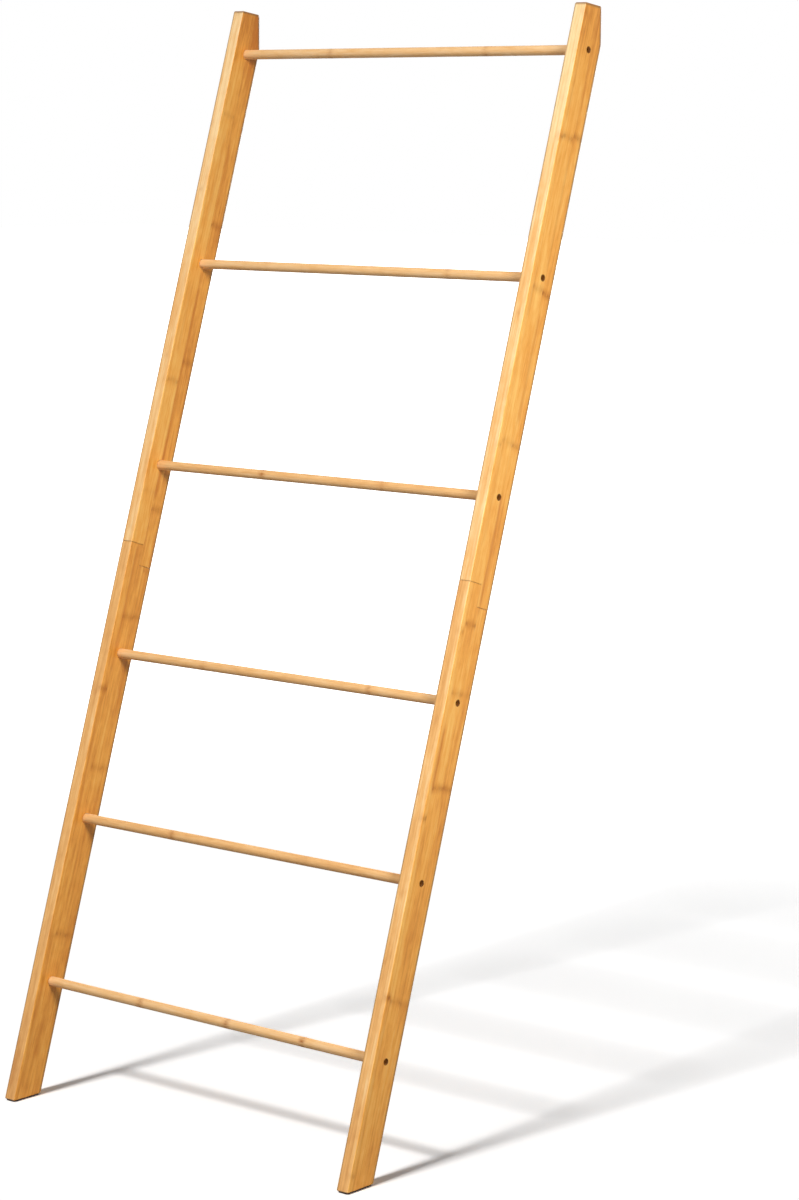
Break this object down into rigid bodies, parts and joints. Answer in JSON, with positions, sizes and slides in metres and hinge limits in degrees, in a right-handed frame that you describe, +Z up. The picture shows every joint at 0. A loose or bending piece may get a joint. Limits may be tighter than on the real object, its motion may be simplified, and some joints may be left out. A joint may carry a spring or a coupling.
{
  "type": "blanket ladder",
  "caption": "Leaning bamboo blanket ladder: flat rails joined in half laps, round rungs screwed through the rails, level feet and upright wall bevels with soft pads.",
  "frame": {"origin": "on the floor, at the centre of the footprint of the leaning ladder", "axes": "+X along the rungs to the right rail, +Y towards the wall it leans on, +Z up"},
  "size_m": [0.638, 0.516, 1.5257],
  "materials": {
    "bamboo_rail": "satin lacquered laminated bamboo",
    "bamboo_rung": "satin lacquered bamboo dowel",
    "screw_steel": "black oxide steel",
    "pad": "matt dark foam rubber"
  },
  "bodies": {
    "root": {"left_rail_lower": "bamboo_rail", "left_rail_upper": "bamboo_rail", "right_rail_lower": "bamboo_rail", "right_rail_upper": "bamboo_rail", "rung_1": "bamboo_rung", "rung_2": "bamboo_rung", "rung_3": "bamboo_rung", "rung_4": "bamboo_rung", "rung_5": "bamboo_rung", "rung_6": "bamboo_rung", "rung_1_screws": "screw_steel", "rung_2_screws": "screw_steel", "rung_3_screws": "screw_steel", "rung_4_screws": "screw_steel", "rung_5_screws": "screw_steel", "rung_6_screws": "screw_steel", "left_foot_pad": "pad", "left_wall_pad": "pad", "right_foot_pad": "pad", "right_wall_pad": "pad"}
  },
  "joints": []
}
